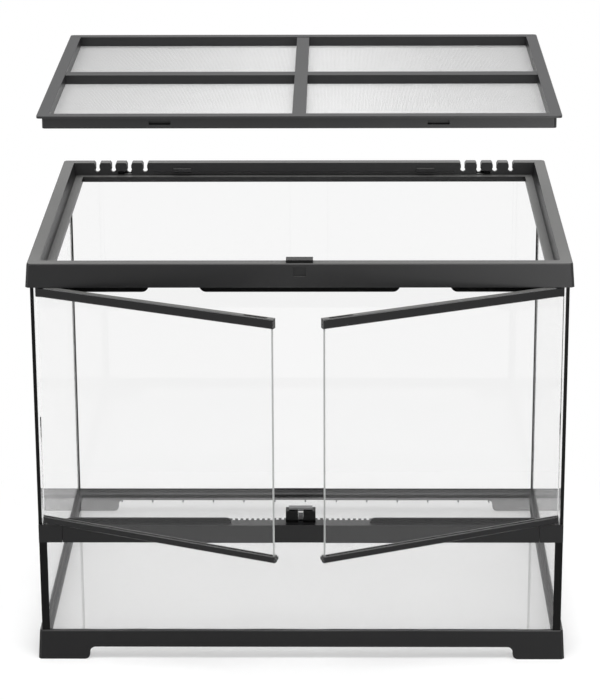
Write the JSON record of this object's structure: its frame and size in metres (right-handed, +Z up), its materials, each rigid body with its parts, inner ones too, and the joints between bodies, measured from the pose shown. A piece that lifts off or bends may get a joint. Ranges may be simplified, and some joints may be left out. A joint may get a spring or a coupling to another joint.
{
  "type": "reptile terrarium",
  "caption": "Glass terrarium with a raised floor, hinged front doors over a vent strip and lock, cable inlets with shutters and a screen cover that lifts off.",
  "frame": {"origin": "centre of the four-footed base's footprint, on the floor", "axes": "+X right as seen from the doors, +Y from the doors to the back, +Z up"},
  "size_m": [0.61, 0.5749, 0.642],
  "materials": {
    "glass": "clear float glass, polished edges",
    "silicone": "satin black sealant",
    "frame_plastic": "satin moulded",
    "vent_plastic": "satin moulded",
    "dark_plastic": "satin moulded",
    "rail_plastic": "satin extruded",
    "cover_plastic": "satin moulded",
    "lever_plastic": "satin moulded",
    "steel": "drawn pin",
    "mesh": "fine woven wire"
  },
  "bodies": {
    "tank": {"base_frame": "frame_plastic", "floor_glass": "glass", "back_glass": "glass", "left_glass": "glass", "right_glass": "glass", "front_window": "glass", "floor_seal": "silicone", "rear_seal_left": "silicone", "rear_seal_right": "silicone", "front_seal_left": "silicone", "front_seal_right": "silicone", "top_frame": "frame_plastic", "vent_profile": "vent_plastic", "vent_end_cap_left": "vent_plastic", "vent_end_cap_right": "vent_plastic", "bottom_stop_left": "dark_plastic", "bottom_stop_right": "dark_plastic", "top_stop_left": "dark_plastic", "top_stop_centre": "dark_plastic", "top_stop_right": "dark_plastic", "lock_body": "dark_plastic", "lock_pin": "steel"},
    "door_left": {"door_glass_left": "glass", "door_top_rail_left": "rail_plastic", "door_bottom_rail_left": "rail_plastic", "door_end_caps_left": "rail_plastic", "hinge_pins_left": "steel"},
    "door_right": {"door_glass_right": "glass", "door_top_rail_right": "rail_plastic", "door_bottom_rail_right": "rail_plastic", "door_end_caps_right": "rail_plastic", "hinge_pins_right": "steel"},
    "screen_cover": {"lid_frame": "cover_plastic", "lid_long_bar": "cover_plastic", "lid_short_bars": "cover_plastic", "lid_mesh": "mesh", "lid_mesh_cross": "mesh"},
    "shutter_left": {"cable_slide_left": "dark_plastic"},
    "shutter_right": {"cable_slide_right": "dark_plastic"},
    "cover_latch": {"lid_latch": "dark_plastic"},
    "lever": {"lock_lever": "lever_plastic"}
  },
  "joints": [
    {"name": "door_left_hinge", "type": "hinge", "parent": "tank", "child": "door_left", "pos_m": [-0.291, -0.2237, 0.3], "axis": [0, 0, -1], "range_deg": [-24, 71]},
    {"name": "door_right_hinge", "type": "hinge", "parent": "tank", "child": "door_right", "pos_m": [0.291, -0.2237, 0.3], "axis": [0, 0, 1], "range_deg": [-24, 71]},
    {"name": "cover_lift", "type": "slide", "parent": "tank", "child": "screen_cover", "axis": [0, 0, 1], "range_m": [-0.1637, 0]},
    {"name": "shutter_left_slide", "type": "slide", "parent": "tank", "child": "shutter_left", "axis": [1, 0, 0], "range_m": [0, 0.009]},
    {"name": "shutter_right_slide", "type": "slide", "parent": "tank", "child": "shutter_right", "axis": [-1, 0, 0], "range_m": [0, 0.009]},
    {"name": "cover_latch_slide", "type": "slide", "parent": "tank", "child": "cover_latch", "axis": [0, -1, 0], "range_m": [0, 0.003]},
    {"name": "lock_lever_tilt", "type": "hinge", "parent": "tank", "child": "lever", "pos_m": [0, -0.2148, 0.1778], "axis": [-1, 0, 0], "range_deg": [0, 6], "stiffness_Nm_per_rad": 0.02}
  ]
}
